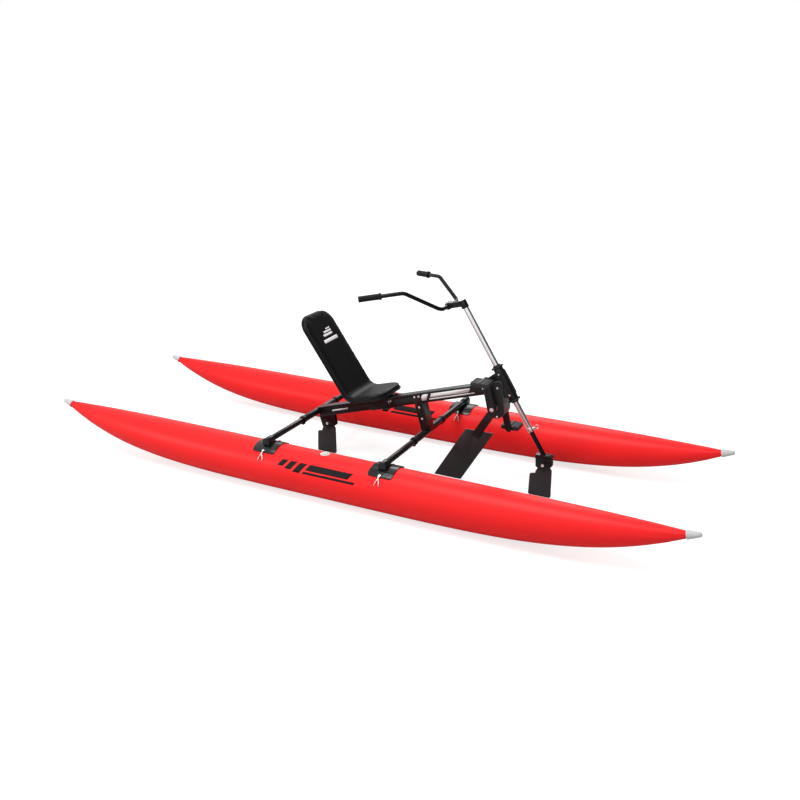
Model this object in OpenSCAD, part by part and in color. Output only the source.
// Pedal boat. Two inflatable pontoons carry a sloping beam with a sliding seat, a pedal drive with
// a swinging fin, a steering column with a kick-up rudder, and a fixed kick-up fin at the stern.
// Millimetres. +X to the bow, +Y to port, +Z up. The origin is on the ground below the middle.

/* [Pontoons] */
// Length of a pontoon from nose to nose
hull_l = 4000; // [3400:50:4600]
// Radius of a pontoon amidships
hull_r = 130; // [115:1:150]
// Distance between the two pontoon axes
hull_gap = 1060; // [960:10:1240]
// Height that the pontoon ends rise above the middle
hull_rise = 125; // [60:5:180]
// Thickness of the coated fabric
hull_skin = 2; // [1.5:0.5:4]
// Length of a nose cap
cap_l = 70; // [55:5:90]
// Thickness of a nose cap at its rim
cap_t = 5; // [4:0.5:8]
// Radius of a valve's base
valve_r = 27; // [20:1:34]

/* [Cross tubes and saddles] */
// Distance from the middle to the front cross tube
front_x = 354; // [280:2:420]
// Distance from the middle to the rear cross tube
rear_x = -390; // [-460:2:-320]
// Outer radius of a telescopic arm
arm_r = 17.5; // [15:0.5:21]
// Wall of the cross tubes and arms
tube_wall = 2.5; // [2:0.5:4]
// Length of a centre sleeve
sleeve_l = 400; // [340:10:480]
// Length of an arm inside its sleeve
arm_in = 70; // [50:5:100]
// Length of a saddle along its pontoon
saddle_l = 146; // [120:2:180]
// Angle that a saddle covers on each side of the top
saddle_a = 39.5; // [30:0.5:50]
// Thickness of a saddle
saddle_t = 5; // [4:0.5:8]
// Length of the socket that holds an arm's end
socket_l = 62; // [50:2:80]

/* [Beam] */
// Width and height of the square beam
beam_w = 60; // [50:1:70]
// Wall of the beam
beam_wall = 3; // [2:0.5:5]
// Length of the beam
beam_l = 1166; // [1100:2:1240]
// Slope of the beam above level
beam_pitch = 16.5; // [14:0.5:19]
// Depth of the beam's centre line below the rear cross tube's centre
beam_drop = 8; // [4:1:12]
// Width of the front strut along the beam
strut_w = 50; // [40:2:64]

/* [Seat] */
// Distance along the beam to the middle of the seat's carriage
seat_u = 470; // [440:5:500]
// Half of the seat's width
seat_hw = 152; // [150:1:190]
// Length of the back above the crease
back_l = 552; // [460:2:580]
// Length of the seat in front of the crease
squab_l = 222; // [210:2:280]
// Angle of the back behind upright
back_rake = 35; // [26:1:40]
// Angle of the seat above level
squab_tilt = 15; // [9:0.5:18]
// Thickness of the cushion
cushion_t = 24; // [16:1:32]
// Thickness of the seat's shell
shell_t = 8; // [5:0.5:12]

/* [Drive] */
// Length of a crank
crank_l = 170; // [150:1:180]
// Angle of the cranks from upright
crank_turn = 14.5; // [0:0.5:20]
// Distance between the drive's side plates
case_w = 94; // [88:1:110]
// Thickness of a side plate
plate_t = 3; // [2:0.5:5]
// Angle of the drive fin behind upright
fin_rake = 31; // [26:1:36]
// Width of the drive fin across its arm
fin_w = 146; // [110:2:170]
// Thickness of the drive fin's blade
fin_t = 6; // [4:0.5:9]
// Width of the drive fin's arm
fin_arm_w = 46; // [36:1:54]
// Greatest swing of the drive fin to each side
fin_swing = 25; // [15:1:27]

/* [Steering] */
// Angle of the steering column behind upright
steer_rake = 32; // [28:0.5:36]
// Radius of the bright steering shaft
shaft_r = 15.5; // [14:0.5:18]
// Radius of the black lower tube
lower_r = 12.75; // [11:0.25:13]
// Length of the head tube
head_l = 194; // [160:2:220]
// Length of shaft above the head tube's middle
shaft_up = 505; // [440:5:560]
// Length of shaft below the head tube's middle
shaft_down = 303; // [260:1:330]
// Length of the lower tube that shows at rest
lower_out = 140; // [120:2:170]
// Length of the lower tube inside the shaft
lower_in = 200; // [160:5:240]
// Radius of the handlebar
bar_r = 11.1; // [10:0.1:13]
// Radius of a grip
grip_r = 17; // [15:0.5:20]
// Length of a grip
grip_l = 125; // [100:1:135]

/* [Rudder and rear fin] */
// Width of a kick-up blade
blade_w = 126; // [100:2:150]
// Thickness of a kick-up blade
blade_t = 14; // [10:1:16]
// Height of the blades' lower edges above the ground
blade_clear = 10; // [6:1:40]

/* [Hidden] */
$fn = 48;
run = 0.05;                   // radial gap of a turning or sliding fit
gap = 0.5;                    // gap between pieces that move past each other
seat_gap = 0.1;               // gap of the seat's carriage around the beam
bolt_r = 4;                   // radius of the frame bolts
hull_sides = 28;
hull_rings = 18;              // rings on each half of a pontoon
skin_end = 45;                // distance from a pontoon's nose to the end of its fabric
nose_r = 13;
saddle_in = hull_r + gap;
saddle_out = saddle_in + saddle_t;
deck_z = hull_r + saddle_out + arm_r;       // height of the cross tubes' centres
sleeve_in_r = arm_r + 0.3;
sleeve_r = sleeve_in_r + tube_wall;
collar_w = 24;
collar_r = sleeve_r + 3;
socket_r = arm_r + 4.5;
arm_end = hull_gap/2 + 48;
beam_z0 = deck_z - beam_drop;
crank_fwd = 20;               // place of the crank from the beam's front end
crank_drop = 106;
head_fwd = 100;               // place of the head tube's middle from the beam's front end
head_up = 10;
strut_u = (front_x - rear_x)*cos(beam_pitch) + beam_drop*sin(beam_pitch);
strut_v = -(front_x - rear_x)*sin(beam_pitch) + beam_drop*cos(beam_pitch);
strut_t = 5;
crank_p = beam_point(beam_l + crank_fwd, -crank_drop);
crank_x = crank_p[0];
crank_z = crank_p[1];
head_p = beam_point(beam_l + head_fwd, head_up);
cheek_in = beam_w/2 + 0.4;    // inner face of the plates that hold the head tube
cheek_t = 4;
plate_in = case_w/2;
plate_out = plate_in + plate_t;
spindle_r = 10;
bearing_r = 20;
arm_plane = plate_out + 24;   // inner face of a crank arm
crank_t = 14;
pedal_in = arm_plane + crank_t + 4;
pedal_w = 92;
pedal_l = 100;
pedal_axle_r = 6;
pedal_barrel_r = 15;
head_r = 27;
head_bore = 20;
flange_r = 35;
flange_t = 9;
shaft_bore = lower_r + run;
collar_l = 8;
stem_w = shaft_up - 8;        // height of the stem's head up the column
stem_below = 26;
clamp_in = -81;               // place of the handlebar clamp from the column
clamp_up = 26;
clamp_bar_r = 12.7;
clamp_half = 24;
bar_straight = 112;           // half of the handlebar's middle part, to its first bend
bar_bend = 55;
cheek_gap = blade_t/2 + 1;    // inner face of the kick-up blades' brackets
cheek_plate = 4;
kick_pin_r = 6;
rudder_in = -31;              // rudder pivot, from the column's axis and middle
rudder_down = shaft_down + lower_out + 58;
fin_p = [rear_x + 60, beam_z0 - 69];
rudder_p = column_point(rudder_in, -rudder_down);
carriage_t = 4;
carriage_l = 156;
carriage_in = beam_w/2 + seat_gap;
carriage_top = carriage_in + carriage_t;
seat_bend = 60;               // radius of the crease between back and squab
yoke_r = 33;
yoke_t = 16;
wobble_r = 17.5;              // the slanted bearing on the crankshaft
wobble_t = 5;
wobble_half = 7;
pivot_r = 6;
pivot_reach = 52;
arm_t = 14;

// ---- places ----

// A point u along the beam and v above its centre line, as [x, z]
function beam_point(u, v) =
    [rear_x + u*cos(beam_pitch) - v*sin(beam_pitch), beam_z0 + u*sin(beam_pitch) + v*cos(beam_pitch)];
// A point ahead of the steering column's axis and above its middle, as [x, z]
function column_point(ahead, up) =
    [head_p[0] + ahead*cos(steer_rake) - up*sin(steer_rake),
     head_p[1] + ahead*sin(steer_rake) + up*cos(steer_rake)];

module on_beam(u = 0) {
    translate([rear_x, 0, beam_z0])
        rotate([0, -beam_pitch, 0])
            translate([u, 0, 0])
                children();
}
module on_column(up = 0) {
    translate([head_p[0], 0, head_p[1]])
        rotate([0, -steer_rake, 0])
            translate([0, 0, up])
                children();
}
module at_crank() {
    translate([crank_x, 0, crank_z])
        children();
}
// The drive fin's frame: +X along its swing axis, -Z down its arm
module on_fin() {
    at_crank()
        rotate([0, fin_rake, 0])
            children();
}
module both_sides() {
    children();
    mirror([0, 1, 0])
        children();
}

// ---- shapes ----

// A cylinder along Y from y0, of length l
module rod_y(r, y0, l, bore = 0) {
    translate([0, y0, 0])
        rotate([-90, 0, 0])
            difference() {
                cylinder(r = r, h = l);
                if (bore > 0)
                    translate([0, 0, -1])
                        cylinder(r = bore, h = l + 2);
            }
}
// A plate drawn in X and Z, from y0 to y0 + t
module plate_y(y0, t) {
    translate([0, y0 + t, 0])
        rotate([90, 0, 0])
            linear_extrude(t)
                children();
}
// Direction of the outward normal of the straight edge that joins two round corners
function edge_dir(a, b) =
    atan2(b[1] - a[1], b[0] - a[0]) - acos((a[2] - b[2])/norm([b[0] - a[0], b[1] - a[1]]));
// Outline around round corners [x, y, radius], listed anticlockwise
function outline(cs, n = 8) = [
    for (i = [0:len(cs) - 1])
        let (c = cs[i],
             from = edge_dir(cs[(i + len(cs) - 1)%len(cs)], c),
             turn = ((edge_dir(c, cs[(i + 1)%len(cs)]) - from)%360 + 360)%360)
        for (k = [0:n])
            let (a = from + turn*k/n)
            [c[0] + c[2]*cos(a), c[1] + c[2]*sin(a)]];
function unit(v) = v/norm(v);
// A cylinder between two points
module bar(a, b, r) {
    d = b - a;
    translate(a)
        rotate([0, acos(d[2]/norm(d)), atan2(d[1], d[0])])
            cylinder(r = r, h = norm(d));
}
// A ring, with its axis along Z
module ring(r, wire) {
    rotate_extrude()
        translate([r, 0])
            circle(r = wire);
}

// ---- pontoons ----

function hull_axis(t) = hull_r + hull_rise*pow(abs(t), 4.2);
function hull_rad(t) = hull_r*pow(1 - pow(abs(t), 4.6), 1.03);
skin_t = 1 - 2*skin_end/hull_l;
function hull_ring(t, inset) = [
    for (k = [0:hull_sides - 1])
        let (a = 360*k/hull_sides, r = hull_rad(t) - inset)
        [t*hull_l/2, r*cos(a), hull_axis(t) + r*sin(a)]];
// A tube of fabric: the rings run along its outside to the bow and back along its inside
module pontoon(side) {
    ts = [for (k = [-hull_rings:hull_rings]) skin_t*sin(90*k/hull_rings)];
    n = len(ts);
    rings = concat([for (t = ts) hull_ring(t, 0)],
        [for (k = [n - 1:-1:0]) hull_ring(ts[k], hull_skin)]);
    translate([0, side*hull_gap/2, 0])
        polyhedron(
            points = [for (r = rings) for (p = r) p],
            faces = [for (i = [0:2*n - 1]) for (k = [0:hull_sides - 1])
                let (j = (i + 1)%(2*n), m = (k + 1)%hull_sides)
                [i*hull_sides + k, j*hull_sides + k, j*hull_sides + m, i*hull_sides + m]]);
}
module port_pontoon() {
    color("red")
        pontoon(1);
}
module starboard_pontoon() {
    color("red")
        pontoon(-1);
}

cap_t0 = 1 - 2*cap_l/hull_l;
cap_slope = atan2(hull_axis(1) - hull_axis(cap_t0), cap_l);
cap_len = (cap_l - nose_r*(1 - cos(cap_slope)))/cos(cap_slope);
cap_r = hull_rad(cap_t0) + cap_t;
module nose_cap() {
    fit = 2.3;
    translate([cap_t0*hull_l/2, 0, hull_axis(cap_t0)])
        rotate([0, 90 - cap_slope, 0])
            difference() {
                rotate_extrude()
                    polygon(concat([[0, 0], [cap_r - 1.5, 0], [cap_r, 1.5]],
                        [for (a = [15:15:75])
                            [nose_r*cos(a), cap_len - nose_r + nose_r*sin(a)]],
                        [[0, cap_len]]));
                translate([0, 0, -1])
                    cylinder(r1 = hull_rad(cap_t0) + fit, r2 = hull_rad(skin_t) + fit,
                        h = (cap_l - skin_end)/cos(cap_slope) + 7);
            }
}
module nose_caps() {
    color("lightgray")
        both_sides()
            translate([0, hull_gap/2, 0])
                for (end = [0, 1])
                    mirror([end, 0, 0])
                        nose_cap();
}
valve_x = -30;
valve_t = 4;
module pontoon_valves() {
    color("gainsboro")
        both_sides()
            translate([valve_x, hull_gap/2, 2*hull_r - 1.2]) {
                difference() {
                    cylinder(r = valve_r, h = valve_t);
                    translate([0, 0, 1.5])
                        cylinder(r = valve_r*0.62, h = valve_t);
                }
                translate([0, 0, 1])
                    cylinder(r = valve_r*0.5, h = valve_t + 3);
            }
}

// ---- saddles, arms and cross tubes ----

function arc_points(r, a0, a1, n) = [for (k = [0:n]) let (a = a0 + (a1 - a0)*k/n) [r*sin(a), r*cos(a)]];
// A curved plate along a pontoon's top, with the socket for an arm's end
saddle_corner = 18;
module saddle(ribs) {
    half_w = saddle_out*sin(saddle_a) + gap;
    translate([0, hull_gap/2, hull_r])
        difference() {
            union() {
                intersection() {
                    union() {
                        translate([-saddle_l/2, 0, 0])
                            rotate([90, 0, 90])
                                linear_extrude(saddle_l)
                                    polygon(concat(arc_points(saddle_out, -saddle_a, saddle_a, 24),
                                        arc_points(saddle_in, saddle_a, -saddle_a, 24)));
                        for (a = ribs, s = [-1, 1])
                            rotate([s*a, 0, 0])
                                translate([1 - saddle_l/2, -2.5, saddle_out - 2])
                                    cube([saddle_l - 2, 5, 5]);
                    }
                    linear_extrude(saddle_out + 20)
                        polygon(outline([for (c = [[-1, -1], [1, -1], [1, 1], [-1, 1]])
                            [c[0]*(saddle_l/2 - saddle_corner), c[1]*(half_w - saddle_corner),
                             saddle_corner]]));
                }
                translate([-socket_r, 52 - socket_l, saddle_in + 2])
                    cube([2*socket_r, socket_l, deck_z - hull_r - saddle_in - 2]);
                translate([0, 0, deck_z - hull_r])
                    rod_y(socket_r, 52 - socket_l, socket_l);
            }
            translate([0, 0, deck_z - hull_r])
                rod_y(arm_r + run, -socket_l, socket_l + 48);
        }
}
module rear_saddles() {
    color("black")
        both_sides()
            translate([rear_x, 0, 0])
                saddle([]);
}
module front_saddles() {
    color("black")
        both_sides()
            translate([front_x, 0, 0])
                saddle([21, 26.5, 32]);
}
// A bright hook below each long edge of a saddle
module hook() {
    rotate([3 - saddle_a, 0, 0])
        translate([0, 0, saddle_out]) {
            cylinder(r = 7, h = 7);
            bar([0, 0, 5], [0, 26, 0.5], 3.4);
            bar([-6, 25, 0.5], [6, 25, 0.5], 4.6);
            for (s = [-1, 1]) {
                bar([s*4, 25, 0.5], [s*10, 37, -3.5], 2.4);
                bar([s*9.4, 36, -3], [s*15, 56, -13], 2.4);
            }
        }
}
module saddle_hooks() {
    color("silver")
        both_sides()
            for (x = [rear_x, front_x], s = [0, 1])
                translate([x, hull_gap/2, hull_r])
                    mirror([0, s, 0])
                        hook();
}
module cross_tube() {
    translate([0, 0, deck_z])
        rod_y(sleeve_r, -sleeve_l/2, sleeve_l, sleeve_in_r);
}
module rear_cross_tube() {
    color("black")
        translate([rear_x, 0, 0])
            cross_tube();
}
module front_cross_tube() {
    color("black")
        translate([front_x, 0, 0])
            cross_tube();
}
module arms() {
    y0 = sleeve_l/2 - arm_in;
    both_sides()
        translate([0, 0, deck_z])
            rod_y(arm_r, y0, arm_end - y0, arm_r - tube_wall);
}
module rear_arms() {
    color("black")
        translate([rear_x, 0, 0])
            arms();
}
module front_arms() {
    color("black")
        translate([front_x, 0, 0])
            arms();
}
// A split clamp ring on the end of a sleeve
module arm_collars() {
    color("dimgray")
        both_sides()
            for (x = [rear_x, front_x])
                translate([x, sleeve_l/2 - collar_w + 2, deck_z])
                    difference() {
                        union() {
                            rod_y(collar_r, 0, collar_w - 2);
                            translate([-8, 0, -collar_r - 7])
                                cube([16, collar_w - 2, 14]);
                        }
                        rod_y(sleeve_r, -1, collar_w + 2);
                        translate([-1, -1, -collar_r - 12])
                            cube([2, collar_w + 2, 20]);
                    }
}

// ---- beam, strut and head ----

beam_start = 14;
// The beam's rear end is cut to fit the cross tube
module main_beam() {
    color("black")
        difference() {
            on_beam(beam_start)
                translate([0, -beam_w/2, -beam_w/2])
                    difference() {
                        cube([beam_l - beam_start, beam_w, beam_w]);
                        translate([-1, beam_wall, beam_wall])
                            cube([beam_l - beam_start + 2, beam_w - 2*beam_wall,
                                beam_w - 2*beam_wall]);
                    }
            translate([rear_x, 0, deck_z])
                rod_y(sleeve_r, -beam_w, 2*beam_w);
            strut_holes();
            beam_end_holes();
        }
}
module beam_end_cap() {
    color("black")
        on_beam(beam_l) {
            translate([0, -beam_w/2, -beam_w/2])
                cube([3, beam_w, beam_w]);
            translate([-12, -beam_w/2 + beam_wall, -beam_w/2 + beam_wall])
                cube([12.5, beam_w - 2*beam_wall, beam_w - 2*beam_wall]);
        }
}
strut_bolts = [[-14, 12], [14, 12], [0, -beam_w/2 - 22], [0, -beam_w/2 - 92]];
module strut_holes(r = bolt_r + run) {
    on_beam(strut_u)
        for (b = strut_bolts)
            translate([b[0], 0, b[1]])
                rod_y(r, -beam_w, 2*beam_w);
}
// A box that straddles the beam and stands on the front cross tube
module front_strut() {
    out = beam_w/2 + 0.2 + strut_t;
    color("black")
        difference() {
            on_beam(strut_u)
                difference() {
                    translate([-strut_w/2, -out, strut_v])
                        cube([strut_w, 2*out, 25 - strut_v]);
                    translate([-strut_w/2 - 1, -beam_w/2 - 0.2, -beam_w/2 - 0.2])
                        cube([strut_w + 2, beam_w + 0.4, 60 + beam_w]);
                    translate([-strut_w/2 + strut_t, -beam_w/2 - 0.2, strut_v - 1])
                        cube([strut_w - 2*strut_t, beam_w + 0.4, -strut_v]);
                }
            translate([front_x, 0, deck_z])
                rod_y(sleeve_r, -2*out, 4*out);
            strut_holes();
        }
}
// The head bracket's bolts, in beam coordinates and column coordinates
end_bolts = [beam_point(beam_l - 26, 8)];
head_bolts = [column_point(3, 64), column_point(3, -64)];
module beam_end_holes(r = bolt_r + run) {
    for (b = end_bolts)
        translate([b[0], 0, b[1]])
            rod_y(r, -beam_w, 2*beam_w);
}
function cheek_shape(grow = 0) =
    let (a = beam_point(beam_l - 66, 4))
    outline([[a[0], a[1], 20 + grow], [head_bolts[1][0], head_bolts[1][1], 16 + grow],
        [head_bolts[0][0], head_bolts[0][1], 16 + grow]]);
// Two plates that run from the beam's sides to the head tube
module head_bracket() {
    color("black")
        difference() {
            both_sides()
                plate_y(cheek_in, cheek_t)
                    polygon(cheek_shape());
            beam_end_holes();
            for (b = head_bolts)
                translate([b[0], 0, b[1]])
                    rod_y(bolt_r + run, -beam_w, 2*beam_w);
        }
}
module head_tube() {
    color("black")
        difference() {
            union() {
                on_column(-head_l/2)
                    cylinder(r = head_r, h = head_l);
                for (b = head_bolts)
                    translate([b[0], 0, b[1]])
                        rod_y(10, -cheek_in, 2*cheek_in);
            }
            on_column(-head_l/2 - 1)
                cylinder(r = head_bore, h = head_l + 2);
        }
}
bush_l = 30;
module bush() {
    difference() {
        union() {
            cylinder(r = flange_r, h = flange_t);
            translate([0, 0, -bush_l])
                cylinder(r = head_bore, h = bush_l + 1);
        }
        translate([0, 0, -bush_l - 1])
            cylinder(r = shaft_r + run, h = bush_l + flange_t + 2);
    }
}
module head_bushes() {
    color("dimgray") {
        on_column(head_l/2)
            bush();
        on_column(-head_l/2)
            mirror([0, 0, 1])
                bush();
    }
}
// A button-head bolt along Y with its nut; the shank spans from -half to half
module through_bolt(half, r = bolt_r) {
    rod_y(r, -half - 0.5, 2*half + 1);
    rod_y(1.5*r, -half - 0.7*r, 0.7*r);
    rod_y(1.5*r, half, 0.8*r);
}
module frame_bolts() {
    color("silver") {
        on_beam(strut_u)
            for (b = strut_bolts)
                translate([b[0], 0, b[1]])
                    through_bolt(beam_w/2 + 0.2 + strut_t);
        for (b = end_bolts)
            translate([b[0], 0, b[1]])
                through_bolt(cheek_in + cheek_t);
        for (b = head_bolts)
            translate([b[0], 0, b[1]])
                both_sides() {
                    rod_y(bolt_r, cheek_in, cheek_t + 1);
                    rod_y(1.25*bolt_r, cheek_in + cheek_t, 0.6*bolt_r);
                }
        for (b = case_bolts)
            at_crank()
                translate([b[0], 0, b[1]])
                    both_sides()
                        rod_y(1.5*bolt_r, plate_out, bolt_r);
    }
}

// ---- drive case ----

// Round corners of a side plate, from the crank's centre
case_corners = [[8, -12, 50], [17, 136, 18], [-57, 108, 15]];
case_bolts = [[-58, 102], [14, 117], [19, -50]];
spacer_r = 7;
module side_plate(side) {
    at_crank()
        difference() {
            plate_y(side > 0 ? plate_in : -plate_out, plate_t)
                polygon(outline(case_corners, 12));
            rod_y(bearing_r, -2*plate_out, 4*plate_out);
        }
}
module port_side_plate() {
    color("black")
        side_plate(1);
}
module starboard_side_plate() {
    color("black")
        side_plate(-1);
}
cover_t = 3;
// A strip bent around the case's top, front and bottom
module drive_cover() {
    wide = [for (c = case_corners) [c[0], c[1], c[2] + 1.5]];
    slim = [for (c = case_corners) [c[0], c[1], c[2] + 1.5 - cover_t]];
    notch = cheek_in + cheek_t + gap;
    color("black")
        difference() {
            at_crank()
                plate_y(-plate_in, 2*plate_in)
                    intersection() {
                        difference() {
                            polygon(outline(wide, 16));
                            polygon(outline(slim, 16));
                        }
                        polygon([[-64, 112], [-64, 180], [90, 180], [90, -80], [8, -80], [8, 20],
                            [-40, 112]]);
                    }
            plate_y(-notch, 2*notch)
                polygon(cheek_shape(gap));
            on_column(-head_l/2)
                cylinder(r = head_r + gap, h = head_l);
            on_beam(beam_l - 100)
                translate([0, -beam_w/2 - gap, -beam_w/2 - gap])
                    cube([104, beam_w + 2*gap, beam_w + 2*gap]);
        }
}
// Tubes that keep the side plates apart, cut short by what they pass
module case_spacers() {
    color("dimgray")
        at_crank() {
            for (b = [case_bolts[0], case_bolts[1]])
                translate([b[0], 0, b[1]])
                    both_sides()
                        rod_y(spacer_r, cheek_in + cheek_t, plate_in - cheek_in - cheek_t);
            translate([case_bolts[2][0], 0, case_bolts[2][1]])
                rod_y(spacer_r, -plate_in, 2*plate_in);
        }
}
module crank_bearings() {
    color("silver")
        at_crank()
            both_sides()
                rod_y(bearing_r, plate_in - 6, plate_t + 10, spindle_r + run);
}
// Two blocks across the case that hold the drive fin's swing axis
module fin_pivot_blocks() {
    color("dimgray")
        on_fin()
            for (s = [-1, 1])
                difference() {
                    translate([s > 0 ? pivot_reach - 14 : -pivot_reach, -plate_in, -13])
                        cube([14, 2*plate_in, 26]);
                    translate([-2*pivot_reach, 0, 0])
                        rotate([0, 90, 0])
                            cylinder(r = pivot_r + run, h = 4*pivot_reach);
                }
}

// ---- crank and pedals ----

spindle_end = arm_plane + crank_t - 1;
module crankshaft() {
    color("silver")
        at_crank() {
            rod_y(spindle_r, -spindle_end, spindle_end - 12);
            rod_y(spindle_r, 12, spindle_end - 12);
            rod_y(8, -13, 26);
            rotate([0, fin_rake, 0])
                rotate([0, 0, fin_swing])
                    rod_y(wobble_r - wobble_t, -wobble_half, 2*wobble_half);
        }
}
// The bearing on the shaft's slanted middle
module wobble_bearing() {
    color("lightgray")
        at_crank()
            rotate([0, fin_rake, 0])
                rotate([0, 0, fin_swing])
                    rotate([90, 0, 0])
                        rotate_extrude()
                            polygon(concat([[wobble_r - wobble_t, -wobble_half]],
                                ball_profile(wobble_r, wobble_half),
                                [[wobble_r - wobble_t, wobble_half]]));
}
// Half of a ball's outline between two levels
function ball_profile(r, half, n = 8) =
    [for (k = [-n:n]) let (h = half*k/n) [sqrt(r*r - h*h), h]];
eye_r = 17;
boss_r = 22;
// A crank arm that points up; the pedal's axle is screwed into its eye
module crank_arm(side) {
    at_crank()
        rotate([0, side > 0 ? 180 - crank_turn : -crank_turn, 0])
            mirror([0, side > 0 ? 0 : 1, 0]) {
                difference() {
                    union() {
                        plate_y(arm_plane, crank_t)
                            polygon(outline([[0, 0, boss_r], [0, crank_l, eye_r]], 16));
                        rod_y(boss_r - 4, arm_plane - 8, 10);
                    }
                    rod_y(spindle_r, 0, 2*arm_plane);
                    translate([0, arm_plane + crank_t + 1.5, 0])
                        plate_y(-4, 4)
                            polygon(outline([[0, 34, 8], [0, crank_l - 28, 6]]));
                    translate([0, 0, crank_l])
                        rod_y(pedal_axle_r + 1, 0, 2*arm_plane);
                }
                translate([0, 0, crank_l]) {
                    rod_y(pedal_axle_r, arm_plane + 1, pedal_in + pedal_w - 7 - arm_plane);
                    rod_y(pedal_axle_r + 1, arm_plane, crank_t + 3);
                }
            }
}
module port_crank_arm() {
    color("dimgray")
        crank_arm(1);
}
module starboard_crank_arm() {
    color("dimgray")
        crank_arm(-1);
}
module crank_bolts() {
    color("silver")
        at_crank()
            both_sides() {
                rod_y(9, spindle_end, 2);
                rod_y(11.5, arm_plane + crank_t, 3.5);
            }
}
tread_t = 22;
// A block pedal: a barrel on the axle between two ribbed treads
module pedal(side) {
    translate([crank_x - side*-crank_l*sin(crank_turn), 0, crank_z - side*crank_l*cos(crank_turn)])
        mirror([0, side > 0 ? 0 : 1, 0])
            difference() {
                union() {
                    rod_y(pedal_barrel_r, pedal_in, pedal_w);
                    translate([-pedal_l/2, pedal_in + 2, -tread_t/2])
                        cube([pedal_l, pedal_w - 4, tread_t]);
                    for (x = [-pedal_l/2 + 6:8:pedal_l/2 - 6])
                        if (abs(x) > pedal_barrel_r)
                            translate([x - 1.5, pedal_in + 4, -tread_t/2 - 2])
                                cube([3, pedal_w - 8, tread_t + 4]);
                }
                rod_y(pedal_axle_r + run, 0, pedal_in + pedal_w - 5.5);
            }
}
module port_pedal() {
    color("black")
        pedal(1);
}
module starboard_pedal() {
    color("black")
        pedal(-1);
}

// ---- drive fin ----

// A ring with a round seat around the crankshaft's bearing, on a pivot at each side
module fin_yoke() {
    seat_r = wobble_r + 0.4;
    color("silver")
        on_fin() {
            rotate([90, 0, 0])
                rotate_extrude()
                    polygon(concat([[yoke_r, -yoke_t/2]],
                        ball_profile(seat_r, yoke_t/2),
                        [[yoke_r, yoke_t/2]]));
            for (s = [0, 1])
                mirror([s, 0, 0])
                    translate([seat_r + 5, 0, 0])
                        rotate([0, 90, 0]) {
                            cylinder(r = pivot_r, h = pivot_reach - 1 - seat_r - 5);
                            cylinder(r = pivot_r + 2.5, h = pivot_reach - 14 - gap - seat_r - 5);
                        }
        }
}
fin_half = fin_w/2;
fin_off = 3;                 // the blade's middle, ahead of its arm
fin_top = 176;               // height from the crank down to the blade's upper edge
// Distance down the arm to the level that lies drop below the crank, at a place ahead of the arm
function down_arm(ahead, drop) = (drop - ahead*sin(fin_rake))/cos(fin_rake);
fin_drop = crank_z - blade_clear - 2;
slot_l = 42;
arm_tip = down_arm(0, fin_top) + slot_l;
module fin_arm() {
    color("black")
        on_fin()
            difference() {
                translate([-fin_arm_w/2, -arm_t/2, -arm_tip])
                    cube([fin_arm_w, arm_t, arm_tip - sqrt(pow(yoke_r, 2) - pow(fin_arm_w/2, 2)) + 1]);
                rod_y(yoke_r, -yoke_t, 2*yoke_t);
                translate([-fin_arm_w, -fin_t/2, -arm_tip - 1])
                    cube([2*fin_arm_w, fin_t, slot_l + 26]);
                fin_bolt_hole();
            }
}
module fin_bolt_hole(r = bolt_r + run) {
    for (x = [-13, 13])
        translate([x, 0, -arm_tip + 18])
            rod_y(r, -20, 40);
}
module drive_fin() {
    color("#222222")
        on_fin()
            difference() {
                plate_y(-fin_t/2, fin_t)
                    polygon([for (p = [[-fin_half, fin_top], [-fin_half, fin_drop],
                            [fin_half, fin_drop], [fin_half, fin_top]])
                        [p[0] + fin_off, -down_arm(p[0] + fin_off, p[1])]]);
                fin_bolt_hole();
            }
}
module fin_bolt() {
    color("silver")
        on_fin()
            for (x = [-13, 13])
                translate([x, 0, -arm_tip + 18])
                    through_bolt(arm_t/2);
}

// ---- kick-up blades ----

// Side view of a blade below its pivot, to a given depth
module kick_outline(depth) {
    neck = 24;
    heel = blade_w*0.6;
    toe = blade_w - heel;
    polygon(concat([for (a = [-8:14:190]) [neck*cos(a) + 2, neck*sin(a)]],
        [[-30, -22], [-42, -44], [-42, -57], [-heel + 4, -64], [-heel + 1, -70],
         [-heel - 3, 6 - depth], [-heel + 3, -depth], [toe - 3, -depth], [toe + 2, 6 - depth],
         [toe, -30], [toe - 6, -18]]));
}
module kick_blade(p) {
    translate([p[0], 0, p[1]])
        difference() {
            plate_y(-blade_t/2, blade_t)
                kick_outline(p[1] - blade_clear);
            rod_y(kick_pin_r + run, -blade_t, 2*blade_t);
        }
}
// The pin with its two heads
module kick_pin(p) {
    out = cheek_gap + cheek_plate;
    translate([p[0], 0, p[1]]) {
        rod_y(kick_pin_r, -out - 1, 2*out + 2);
        both_sides()
            rod_y(kick_pin_r + 2.5, out, 4);
    }
}
module rear_fin_bracket() {
    color("black")
        difference() {
            translate([fin_p[0], 0, fin_p[1]])
                both_sides()
                    plate_y(cheek_gap, cheek_plate)
                        polygon(outline([[-48, 44, 8], [-24, -18, 12], [4, -24, 16], [48, 6, 13],
                            [44, 74, 8], [-40, 74, 8]]));
            on_beam()
                translate([-60, -beam_w/2, -beam_w/2])
                    cube([beam_l, beam_w, 3*beam_w]);
            translate([rear_x, 0, deck_z])
                rod_y(sleeve_r, -beam_w, 2*beam_w);
            translate([fin_p[0], 0, fin_p[1]])
                rod_y(kick_pin_r, -beam_w, 2*beam_w);
        }
}
module rear_fin_pin() {
    color("silver")
        kick_pin(fin_p);
}
module rear_fin() {
    color("#343436")
        kick_blade(fin_p);
}
socket_w = 2*cheek_gap + 2*cheek_plate;
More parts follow.
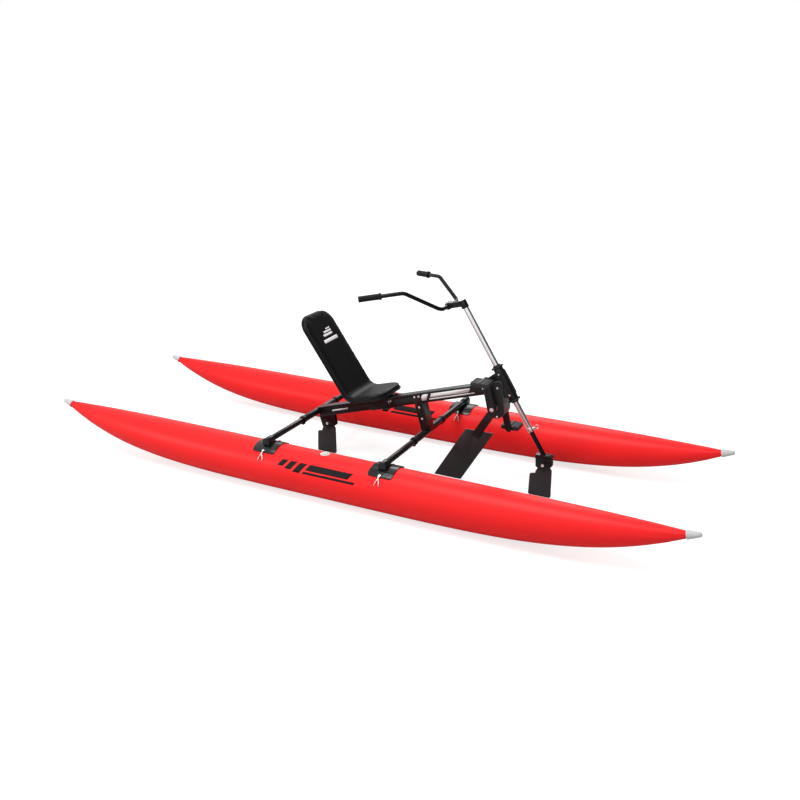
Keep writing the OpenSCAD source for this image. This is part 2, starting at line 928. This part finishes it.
// Two cheeks on a block that is clamped to the lower tube
module rudder_bracket() {
    color("black")
        difference() {
            union() {
                translate([rudder_p[0], 0, rudder_p[1]])
                    both_sides()
                        plate_y(cheek_gap, cheek_plate)
                            polygon(outline([[-34, -7, 7], [2, -22, 13], [44, 6, 9], [44, 60, 7],
                                [-36, 54, 7]]));
                translate([rudder_p[0], -lower_r - 6, rudder_p[1]])
                    translate([-42, 0, 36])
                        cube([93, 2*lower_r + 12, 26]);
            }
            translate([rudder_p[0], 0, rudder_p[1]])
                rod_y(kick_pin_r, -beam_w, 2*beam_w);
            on_column(-shaft_down - lower_out - 60)
                cylinder(r = lower_r, h = lower_out + 60);
        }
}
module rudder_pin() {
    color("silver")
        kick_pin(rudder_p);
}
module rudder_blade() {
    color("#343436")
        kick_blade(rudder_p);
}

// ---- steering ----

module steering_shaft() {
    color("silver")
        on_column()
            difference() {
                translate([0, 0, -shaft_down])
                    cylinder(r = shaft_r, h = shaft_up + shaft_down);
                translate([0, 0, -shaft_down - 1])
                    cylinder(r = shaft_bore, h = shaft_up + shaft_down - 4);
                translate([0, 0, pin_up - shaft_down])
                    rotate([0, 90, 0])
                        cylinder(r = pin_r + run, h = 40);
            }
}
module shaft_collars() {
    color("dimgray")
        for (s = [0, 1])
            on_column()
                mirror([0, 0, s])
                    translate([0, 0, head_l/2 + flange_t + gap])
                        difference() {
                            cylinder(r = shaft_r + 6, h = collar_l);
                            translate([0, 0, -1])
                                cylinder(r = shaft_r, h = collar_l + 2);
                        }
}
pin_r = 3.5;
pin_up = 14;                  // height of the column's pin above the shaft's lower end
boss_l = 12;
module column_pin_boss() {
    color("silver")
        on_column(pin_up - shaft_down)
            difference() {
                union() {
                    translate([0, 0, -13])
                        cylinder(r = shaft_r + 2.5, h = 26);
                    rotate([0, 90, 0])
                        cylinder(r = 7.5, h = shaft_r + boss_l);
                }
                translate([0, 0, -14])
                    cylinder(r = shaft_r, h = 28);
                rotate([0, 90, 0])
                    cylinder(r = pin_r + run, h = 60);
            }
}
// A spring plunger with a pull ring
module plunger(inner, outer) {
    rotate([0, 90, 0]) {
        translate([0, 0, inner])
            cylinder(r = pin_r, h = outer + 8 - inner);
        translate([0, 0, outer + gap])
            cylinder(r = 6, h = 5);
    }
    translate([outer + 8 + 9, 0, 0])
        rotate([90, 0, 0])
            ring(10, 1.8);
}
module column_pin() {
    color("silver")
        on_column(pin_up - shaft_down)
            plunger(lower_r + gap, shaft_r + boss_l);
}
module stem() {
    reach = norm([clamp_in, clamp_up]);
    color("black")
        difference() {
            on_column(stem_w)
                union() {
                    translate([0, 0, -stem_below])
                        cylinder(r = shaft_r + 5, h = stem_below + 18);
                    rotate([0, atan2(clamp_up, -clamp_in), 0])
                        translate([-reach, -15, -15])
                            cube([reach, 30, 30]);
                    translate([clamp_in, 0, clamp_up])
                        rod_y(clamp_bar_r + 7, -clamp_half, 2*clamp_half);
                }
            on_column(0)
                cylinder(r = shaft_r, h = shaft_up);
            translate([bar_p[0], 0, bar_p[1]])
                rod_y(clamp_bar_r, -2*clamp_half, 4*clamp_half);
        }
}
bar_p = column_point(clamp_in, stem_w + clamp_up);
module stem_bolts() {
    color("silver")
        translate([bar_p[0], 0, bar_p[1]])
            for (y = [-16, 16], z = [-1, 1])
                translate([-6, y, 0])
                    rotate([0, z > 0 ? -30 : 210, 0])
                        translate([0, 0, clamp_bar_r + 5])
                            cylinder(r = 4, h = 6);
}
// Places that one side of the handlebar passes through, from the middle of the clamp
bar_path = [[0, 0, 0], [0, bar_straight, 0], [-168, 230, 100], [-365, 366, 74]];
// Stations [place, direction, radius] along a path, with a round elbow at each inner place
function stations(path, r, bend, n = 5) =
    let (last = len(path) - 1,
         dirs = [for (i = [0:last - 1]) unit(path[i + 1] - path[i])])
    concat([[path[0], dirs[0], r]],
        [for (i = [1:last - 1])
            let (turn = acos(dirs[i]*dirs[i - 1]),
                 a = path[i] - bend*tan(turn/2)*dirs[i - 1],
                 toward = unit(dirs[i] - (dirs[i]*dirs[i - 1])*dirs[i - 1]))
            for (k = [0:n])
                let (t = turn*k/n)
                [a + bend*((1 - cos(t))*toward + sin(t)*dirs[i - 1]),
                 cos(t)*dirs[i - 1] + sin(t)*toward, r]],
        [[path[last], dirs[last - 1], r]]);
// A round bar through stations whose directions are never upright
module swept_bar(st, sides) {
    n = len(st);
    points = [for (s = st)
        let (e = unit(cross(s[1], [0, 0, 1])), f = cross(e, s[1]))
        for (k = [0:sides - 1])
            s[0] + s[2]*(cos(360*k/sides)*e + sin(360*k/sides)*f)];
    polyhedron(points = points,
        faces = concat([[for (k = [sides - 1:-1:0]) k]],
            [for (i = [0:n - 2]) for (k = [0:sides - 1])
                let (m = (k + 1)%sides)
                [i*sides + k, i*sides + m, (i + 1)*sides + m, (i + 1)*sides + k]],
            [[for (k = [0:sides - 1]) (n - 1)*sides + k]]));
}
module handlebar() {
    half = stations([for (p = bar_path) p], bar_r, bar_bend);
    port = concat([[[0, clamp_half - 0.5, 0], [0, 1, 0], clamp_bar_r],
        [[0, clamp_half, 0], [0, 1, 0], bar_r]], [for (i = [1:len(half) - 1]) half[i]]);
    starboard = [for (s = flip(port)) [[s[0][0], -s[0][1], s[0][2]], [-s[1][0], s[1][1], -s[1][2]], s[2]]];
    color("black")
        translate([bar_p[0], 0, bar_p[1]])
            swept_bar(concat(starboard, port), 20);
}
module grips() {
    tip = bar_path[3];
    d = unit(bar_path[3] - bar_path[2]);
    color("#1a1a1a")
        translate([bar_p[0], 0, bar_p[1]])
            both_sides()
                difference() {
                    union() {
                        bar(tip - (grip_l - 5)*d, tip + 5*d, grip_r);
                        bar(tip - (grip_l - 5)*d, tip - (grip_l - 13)*d, grip_r + 3.5);
                    }
                    bar(tip - grip_l*d, tip, bar_r);
                }
}
module lower_tube() {
    color("black")
        on_column(-shaft_down - lower_out - 30)
            cylinder(r = lower_r, h = lower_out + 30 + lower_in);
}

// ---- seat ----

squab_dir = [cos(squab_tilt), sin(squab_tilt)];
squab_up = [-sin(squab_tilt), cos(squab_tilt)];
back_dir = [-sin(back_rake), cos(back_rake)];
back_up = [cos(back_rake), sin(back_rake)];
bend_c = seat_bend/(1 + squab_up*back_up)*(squab_up + back_up);
// The seat's brackets hold the front of the shell just above the carriage
seat_ahead = 88;
seat_lift = 12;
rest_p = beam_point(seat_u + seat_ahead, carriage_top + seat_lift) - squab_l*squab_dir
    + (cushion_t + shell_t)*squab_up;
// A line that runs depth below the seat's surface, from the top of the back to the front
function seat_line(depth) = concat([back_l*back_dir - depth*back_up],
    [for (k = [0:10]) let (a = 180 + back_rake + k*(90 - back_rake + squab_tilt)/10)
        bend_c + (seat_bend + depth)*[cos(a), sin(a)]],
    [squab_l*squab_dir - depth*squab_up]);
function flip(v) = [for (k = [len(v) - 1:-1:0]) v[k]];
module seat_band(d0, d1, hw) {
    plate_y(-hw, 2*hw)
        polygon(concat(seat_line(d0), flip(seat_line(d1))));
}
back_corner = 88;
squab_corner = 92;
// Plan shapes of the back and the squab, each extruded through its thickness. Their straight sides
// stand just outside the band's.
module seat_plan(inset) {
    hw = seat_hw - inset + 0.6;
    rotate([0, -back_rake, 0])
        rotate([90, 0, 90])
            translate([0, 0, -seat_bend - 30])
                linear_extrude(2*seat_bend + 60)
                    polygon(outline([[-hw + 5, -20, 5], [hw - 5, -20, 5],
                        [hw - back_corner, back_l - inset - back_corner, back_corner],
                        [-hw + back_corner, back_l - inset - back_corner, back_corner]], 12));
    rotate([0, -squab_tilt, 0])
        translate([0, 0, -seat_bend])
            linear_extrude(2*seat_bend)
                polygon(outline([[-90, -hw + 5, 5],
                    [squab_l - inset - squab_corner, -hw + squab_corner, squab_corner],
                    [squab_l - inset - squab_corner, hw - squab_corner, squab_corner],
                    [-90, hw - 5, 5]], 12));
}
module seat_piece(d0, d1, inset) {
    translate([rest_p[0], 0, rest_p[1]])
        intersection() {
            seat_band(d0, d1, seat_hw - inset);
            seat_plan(inset);
        }
}
module seat_shell() {
    color("#202020")
        seat_piece(cushion_t, cushion_t + shell_t, 0);
}
module seat_cushion() {
    color("black")
        seat_piece(0, cushion_t, 2);
}
// Two upright plates between the carriage and the shell
module seat_brackets() {
    under = -(cushion_t + shell_t)*squab_up;
    back = rest_p + 30*squab_dir + under;
    front = rest_p + (squab_l - 30)*squab_dir + under;
    color("black")
        both_sides()
            plate_y(carriage_in + 12, 4)
                polygon([back, beam_point(seat_u - carriage_l/2 + 4, carriage_top),
                    beam_point(seat_u + 30, carriage_top), front]);
}
seat_pin_u = 74;
seat_pin_v = 12;
// A box that slides along the beam, with wings below the seat's brackets
module seat_carriage() {
    color("black")
        on_beam(seat_u)
            difference() {
                union() {
                    translate([-carriage_l/2, -carriage_top, -carriage_top])
                        cube([carriage_l + 14, 2*carriage_top, 2*carriage_top]);
                    translate([-carriage_l/2, -carriage_in - 18, carriage_in])
                        cube([carriage_l, 2*carriage_in + 36, carriage_t]);
                    translate([seat_pin_u, -carriage_top - 8, seat_pin_v])
                        rod_y(7.5, 0, 12);
                }
                translate([-carriage_l, -carriage_in, -carriage_in])
                    cube([2*carriage_l, 2*carriage_in, 2*carriage_in]);
                translate([seat_pin_u, 0, seat_pin_v])
                    rod_y(pin_r + run, -2*carriage_top, 2*carriage_top);
            }
}
module seat_pin() {
    color("silver")
        on_beam(seat_u)
            translate([seat_pin_u, 0, seat_pin_v])
                rotate([0, 0, -90])
                    plunger(beam_w/2 + gap, carriage_top + 8);
}

port_pontoon();
starboard_pontoon();
nose_caps();
pontoon_valves();
rear_saddles();
front_saddles();
saddle_hooks();
rear_cross_tube();
front_cross_tube();
rear_arms();
front_arms();
arm_collars();
main_beam();
beam_end_cap();
front_strut();
frame_bolts();
head_bracket();
head_tube();
head_bushes();
port_side_plate();
starboard_side_plate();
drive_cover();
case_spacers();
crank_bearings();
fin_pivot_blocks();
rear_fin_bracket();
rear_fin_pin();
rear_fin();
crankshaft();
wobble_bearing();
port_crank_arm();
starboard_crank_arm();
crank_bolts();
port_pedal();
starboard_pedal();
fin_yoke();
fin_arm();
drive_fin();
fin_bolt();
seat_shell();
seat_cushion();
seat_brackets();
seat_carriage();
seat_pin();
steering_shaft();
shaft_collars();
stem();
stem_bolts();
handlebar();
grips();
column_pin();
column_pin_boss();
lower_tube();
rudder_bracket();
rudder_pin();
rudder_blade();
